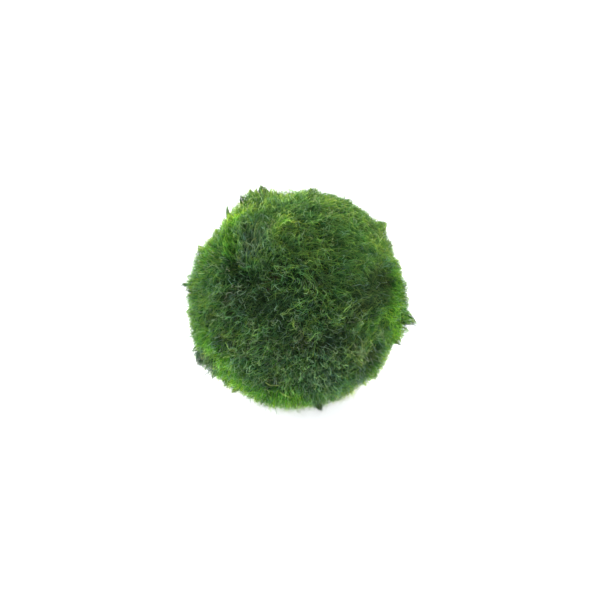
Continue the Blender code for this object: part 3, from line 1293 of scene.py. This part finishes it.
@dataclass
class StrayThreads:
    """The few loose threads that catch the eye."""

    thickness: float = 0.000052
    joints: int = 7
    twist: float = 7.5
    twins: int = 2
    apart: float = 0.00030
    tuft: float = 0.8
    seed: int = 83
    threads: tuple[Stray, ...] = each(
        Stray,
        (89.5, 84, 140, 0.0022, 0.0002, 0.0014, 0.5), (212, 43, 330, 0.0030, 0.0009),
        (222, 46, 205, 0.0024, 0.0009), (228, 55, 60, 0.0024, 0.0009),
        (229, 10, 35, 0.0026, 0.0010, 0.0, 0.3), (262, 13, 85, 0.0016, 0.0010, 0.0, 0.3),
        (249, 50, 350, 0.0036, 0.0009), (262, 56, 340, 0.0030, 0.0009), (285, 22, 40, 0.0030, 0.0009),
        (63, 20, 200, 0.0022, 0.0010), (345, 25, 45, 0.0030, 0.0009, 0.0, 0.3),
    )

    def laid(self, maker: FilamentMaker) -> Strands:
        """Lays out the threads, each as a few strands side by side.

        Args:
            maker: The maker, for the ball's reach.

        Returns:
            Their paths.
        """
        rng = np.random.default_rng(self.seed)
        paths, outward = [], []
        for thread in self.threads:
            start = rng.uniform(0, WHOLE_TURN)
            spot = seen_at(thread.clock, thread.off_axis) * BALL_RADIUS
            for _ in range(self.twins):
                root = unit(spot + rng.normal(0, self.apart, 3))
                path, facing = self._one(thread, root, start, maker.reach)
                paths.append(path)
                outward.append(facing)
        count = len(paths)
        thickness = self.thickness * rng.uniform(0.7, 1.1, count)
        side = rng.normal(0, 1, (count, 3))
        outer_glow, shades, tuft = np.zeros(count), rng.uniform(0.6, 1.0, count), np.full(count, self.tuft)
        return Strands(np.array(paths), np.array(outward), side, thickness, outer_glow, shades, tuft)

    def _one(
        self, thread: Stray, root: np.ndarray, start: float, reach: Reach
    ) -> tuple[list[np.ndarray], list[np.ndarray]]:
        """Walks one strand over the ball, winding from side to side.

        Args:
            thread: The thread that it belongs to.
            root: The direction to its root.
            start: Where in its winding it starts.
            reach: How far the ball reaches in every direction.

        Returns:
            The strand's joints, and the direction to each.
        """
        heading, here = clock_hand(thread.heading), root
        path, facing = [], []
        for joint in range(self.joints + 1):
            share = joint / self.joints
            rise = thread.height * math.sin(math.pi * (0.15 + 0.7 * share)) + thread.lift * share
            path.append(reach.middle + (reach.smooth(here[None])[0] + rise) * here)
            facing.append(here)
            ahead = unit(heading - (heading @ here) * here)
            angle = thread.curl * math.sin(start + self.twist * share)
            step = math.cos(angle) * ahead + math.sin(angle) * np.cross(here, ahead)
            here = unit(here + thread.length / self.joints / BALL_RADIUS * step)
        return path, facing


PILE = Filaments(
    "pile", count=17000, joints=2, travel=0.0012, root_depth=0.0030, tip_depth=-0.0012, tip_scatter=0.0028,
    rise=1.2, bend=1.3, lie=Lie.COMBED, stray=1.8, clump_gap=0.0019, clump_pull=0.85, clump_dome=0.0009,
    hollow_drop=0.0009, sleeking=1.0, sleek_drop=0.0009, curly_drop=0.0010, gap_drop=0.0011,
    tall_lift=0.0008, short_drop=0.0022, seed=10,
)
COMBED = Filaments(
    "combed_strands", count=7500, joints=4, travel=0.0040, root_depth=0.0020, tip_depth=-0.0002,
    tip_scatter=0.0010, rise=2.6, bend=0.9, lie=Lie.COMBED, stray=0.45, wave=0.00022, clump_gap=0.0024,
    clump_pull=0.3, hollow_drop=0.0006, gap_drop=0.0006, hollow_thinning=0.4, even_share=0.18,
    areas=each(Area, (57, 52, 30, 3.0), (127, 45, 18, 1.1), (325, 45, 24, 0.8), (200, 60, 18, 0.4)),
    seed=31,
)
TANGLED = Filaments(
    "tangled_threads", count=5700, joints=5, travel=0.0020, root_depth=0.0016, tip_depth=-0.0002,
    tip_scatter=0.0009, rise=3.0, bend=3.8, wave=0.0005, hollow_drop=0.0005, gap_drop=0.0006,
    hollow_thinning=0.5, even_share=0.5, areas=each(Area, (250, 25, 34, 1.2), (300, 45, 30, 0.8)), seed=41,
)
PALE = Filaments(
    "pale_threads", count=3000, joints=5, thickness=0.000054, travel=0.0016, root_depth=0.0010,
    tip_depth=-0.0007, tip_scatter=0.0009, rise=3.0, bend=2.6, wave=0.0005, gap_drop=0.0004,
    hollow_thinning=0.5, even_share=0.3,
    areas=each(
        Area,
        (290, 45, 24, 1.8), (250, 22, 26, 1.1), (230, 48, 14, 0.7), (126, 42, 14, 0.3), (175, 34, 14, 0.5),
    ),
    seed=51,
)
LOOSE = Filaments(
    "loose_ends", count=1000, joints=4, thickness=0.000045, travel=0.0026, root_depth=0.0010,
    tip_depth=-0.0020, tip_scatter=0.0016, rise=1.4, bend=2.6, wave=0.0003, seed=61,
)

PILE_FINISH = FilamentFinish(
    name="green_pile",
    root=(0.012, 0.036, 0.014, 1),
    body=(0.084, 0.235, 0.052, 1),
    tip=(0.30, 0.60, 0.085, 1),
    outer_glow_tip=(0.84, 0.98, 0.10, 1),
    withered=(0.09, 0.09, 0.04, 1),
    tip_start=0.6,
    lets_through=0.55,
)
COMBED_FINISH = FilamentFinish(
    name="combed_green",
    root=(0.015, 0.050, 0.020, 1),
    body=(0.15, 0.33, 0.084, 1),
    tip=(0.38, 0.62, 0.150, 1),
    outer_glow_tip=(0.52, 0.76, 0.130, 1),
    withered=(0.13, 0.13, 0.06, 1),
    unevenness=0.62,
)
TANGLED_FINISH = FilamentFinish(
    name="tangled_sage",
    root=(0.018, 0.060, 0.026, 1),
    body=(0.13, 0.31, 0.115, 1),
    tip=(0.31, 0.56, 0.19, 1),
    outer_glow_tip=(0.42, 0.68, 0.15, 1),
    withered=(0.14, 0.13, 0.08, 1),
    root_end=0.25,
)
LOCK_FINISH = FilamentFinish(
    name="dark_locks",
    root=(0.010, 0.030, 0.012, 1),
    body=(0.070, 0.160, 0.050, 1),
    tip=(0.19, 0.34, 0.090, 1),
    outer_glow_tip=(0.19, 0.34, 0.090, 1),
    withered=(0.09, 0.08, 0.04, 1),
)
PALE_FINISH = FilamentFinish(
    name="pale_sage",
    root=(0.04, 0.10, 0.04, 1),
    body=(0.32, 0.49, 0.25, 1),
    tip=(0.50, 0.68, 0.35, 1),
    outer_glow_tip=(0.56, 0.74, 0.35, 1),
    withered=(0.40, 0.34, 0.14, 1),
    hollowshade=(0.75, 0.75, 0.90, 1),
    freshglow=(1.0, 1.1, 0.8, 1),
    sage=(1.0, 1.0, 1.2, 1),
    root_end=0.2,
)
STRAY_FINISH = FilamentFinish(
    name="yellowed_strays",
    root=(0.10, 0.20, 0.05, 1),
    body=(0.34, 0.52, 0.14, 1),
    tip=(0.50, 0.66, 0.20, 1),
    outer_glow_tip=(0.50, 0.66, 0.20, 1),
    withered=(0.44, 0.40, 0.14, 1),
    hollowshade=(0.85, 0.85, 0.90, 1),
    goldenglow=WHITE,
    freshglow=WHITE,
    sage=(1.0, 1.0, 1.2, 1),
    brown=(1.1, 0.9, 1.0, 1),
    gap=(0.9, 0.9, 0.9, 1),
    root_end=0.15,
)


@dataclass
class MossBall:
    """The moss ball: its felted mat and the kinds of filament that grow out of it."""

    pile_pieces: int = 3
    combing: Combing = Combing()
    patchwork: Patchwork = Patchwork()

    def build(self, reach: Reach) -> list[bpy.types.Object]:
        """Builds and dresses every piece.

        Args:
            reach: How far the ball reaches in every direction.

        Returns:
            The pieces.
        """
        log.info("middle of the ball at %s", np.round(reach.middle, 5).tolist())
        effects = SharedEffects()
        maker = FilamentMaker(reach, self.combing, self.patchwork)
        mat = self._placed("felt_mat", FeltMat().build(reach), FeltFinish().material(effects))
        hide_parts("moss_ball")
        pieces = [mat]
        pile_finish = PILE_FINISH.material(effects)
        for number in range(self.pile_pieces):
            pile = replace(PILE, name=f"pile_{number + 1}", seed=PILE.seed + number)
            pieces.append(self._placed(pile.name, maker.mesh(pile.name, maker.laid(pile)), pile_finish))
        kinds = (
            (COMBED, COMBED_FINISH),
            (TANGLED, TANGLED_FINISH),
            (PALE, PALE_FINISH),
            (LOOSE, COMBED_FINISH),
        )
        for kind, finish in kinds:
            mesh = maker.mesh(kind.name, maker.laid(kind))
            pieces.append(self._placed(kind.name, mesh, finish.material(effects)))
        locks = maker.mesh("pointed_locks", PointedLocks().laid(maker))
        pieces.append(self._placed("pointed_locks", locks, LOCK_FINISH.material(effects)))
        strays = maker.mesh("stray_threads", StrayThreads().laid(maker))
        pieces.append(self._placed("stray_threads", strays, STRAY_FINISH.material(effects)))
        return pieces

    @staticmethod
    def _placed(name: str, mesh: bpy.types.Mesh, material: bpy.types.Material) -> bpy.types.Object:
        """Puts a piece on the ball's body.

        Args:
            name: The piece's name.
            mesh: Its mesh.
            material: Its finish.

        Returns:
            The piece.
        """
        piece = bpy.data.objects.new(name, mesh)
        bpy.context.scene.collection.objects.link(piece)
        mesh.materials.append(material)
        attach(piece, "root")
        log.info("%s: %d triangles", name, sum(len(face.vertices) - 2 for face in mesh.polygons))
        return piece


@dataclass(frozen=True)
class SoftLight:
    """A square soft light: the way to it from the ball, how far it is, its width, and its power in watts."""

    name: str
    heading: tuple[float, float, float]
    away: float
    size: float
    power: float

    def hang(self, middle: np.ndarray) -> None:
        """Hangs the light.

        Args:
            middle: The ball's middle, at which it points.
        """
        data = bpy.data.lights.new(self.name, "AREA")
        data.shape = "SQUARE"
        data.size = self.size
        data.energy = self.power
        lamp = bpy.data.objects.new(self.name, data)
        direction = Vector(self.heading).normalized()
        lamp.location = Vector(middle) + direction * self.away
        lamp.rotation_euler = direction.to_track_quat("Z", "Y").to_euler()
        lamp.visible_camera = False
        bpy.context.scene.collection.objects.link(lamp)


@dataclass
class Studio:
    """The pale floor, the soft lights and the camera."""

    floor_half: float = 3.0
    floor_colour: Colour = (0.85, 0.84, 0.90, 1)
    floor_glow_colour: Colour = (0.98, 0.97, 1.0, 1)
    floor_glow: float = 1.35
    floor_glow_seen: float = 0.67
    sky_colour: Colour = (0.95, 0.98, 1.0, 1)
    sky_seen: Colour = (0.8, 0.8, 0.8, 1)
    sky: float = 0.85
    lens: float = 85.0
    sensor: float = 36.0
    distance: float = 0.313
    aim_right: float = 0.0008
    aim_up: float = -0.00024
    lights: tuple[SoftLight, ...] = each(
        SoftLight,
        ("key_softbox", (0.35, 0.20, 0.95), 0.75, 0.50, 5.6),
        ("back_softbox", (-0.3, 1.0, 0.25), 0.7, 0.8, 14.0),
        ("left_softbox", (-1.0, 0.35, 0.15), 0.7, 0.5, 9.0),
        ("right_softbox", (1.0, 0.25, 0.10), 0.7, 0.5, 3.0),
    )

    def build(self, middle: np.ndarray) -> None:
        """Builds everything round the ball.

        Args:
            middle: The ball's middle, at which the lights and the camera point.
        """
        view = bpy.context.scene.view_settings
        view.view_transform = "Standard"
        view.look = "None"
        self._floor()
        self._sky()
        for light in self.lights:
            light.hang(middle)
        self._camera(middle)

    def _floor(self) -> None:
        """Lays the floor, which gives more light than it shows."""
        half = self.floor_half
        mesh = bpy.data.meshes.new("studio_floor")
        corners = [(-half, -half, 0), (half, -half, 0), (half, half, 0), (-half, half, 0)]
        mesh.from_pydata(corners, [], [(0, 1, 2, 3)])
        floor = bpy.data.objects.new("studio_floor", mesh)
        bpy.context.scene.collection.objects.link(floor)
        material, wiring = blank_material("pale_floor")
        seen = wiring.node("ShaderNodeLightPath").outputs["Is Camera Ray"]
        dimmed = self.floor_glow_seen - self.floor_glow
        glow = wiring.sum_up("MULTIPLY_ADD", seen, dimmed, self.floor_glow)
        shader = wiring.node("ShaderNodeBsdfPrincipled")
        wiring.feed_named(shader, Base_Color=self.floor_colour, Roughness=0.9, Specular_IOR_Level=0.1)
        wiring.feed_named(shader, Emission_Color=self.floor_glow_colour, Emission_Strength=glow)
        wiring.show(shader)
        mesh.materials.append(material)

    def _sky(self) -> None:
        """Sets a plain surround, which lights the ball a little bluer than it shows."""
        world = bpy.data.worlds.new("white_surround")
        bpy.context.scene.world = world
        world.use_nodes = True
        wiring = Wiring(world.node_tree)
        seen = wiring.node("ShaderNodeLightPath").outputs["Is Camera Ray"]
        given = wiring.node("ShaderNodeBackground", self.sky_colour, self.sky)
        shown = wiring.node("ShaderNodeBackground", self.sky_seen, 1.0)
        both = wiring.node("ShaderNodeMixShader", seen, given.outputs[0], shown.outputs[0])
        wiring.show(both, "World")

    def _camera(self, middle: np.ndarray) -> None:
        """Sets up the camera at the photograph's angle.

        Args:
            middle: The ball's middle.
        """
        right, up, towards = showing_axes()
        aim = middle + self.aim_right * right + self.aim_up * up
        data = bpy.data.cameras.new("camera")
        data.lens = self.lens
        data.sensor_width = self.sensor
        data.clip_start = 0.01
        camera = bpy.data.objects.new("camera", data)
        camera.location = Vector(aim + self.distance * towards)
        camera.rotation_euler = Vector(towards).to_track_quat("Z", "Y").to_euler()
        bpy.context.scene.collection.objects.link(camera)
        bpy.context.scene.camera = camera


def main() -> None:
    """Builds the ball and its studio, and logs how many pieces there are."""
    reach = Reach(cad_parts["moss_ball"])
    pieces = MossBall().build(reach)
    Studio().build(reach.middle)
    log.info("%d pieces", len(pieces))


if __name__ == "__main__":
    main()
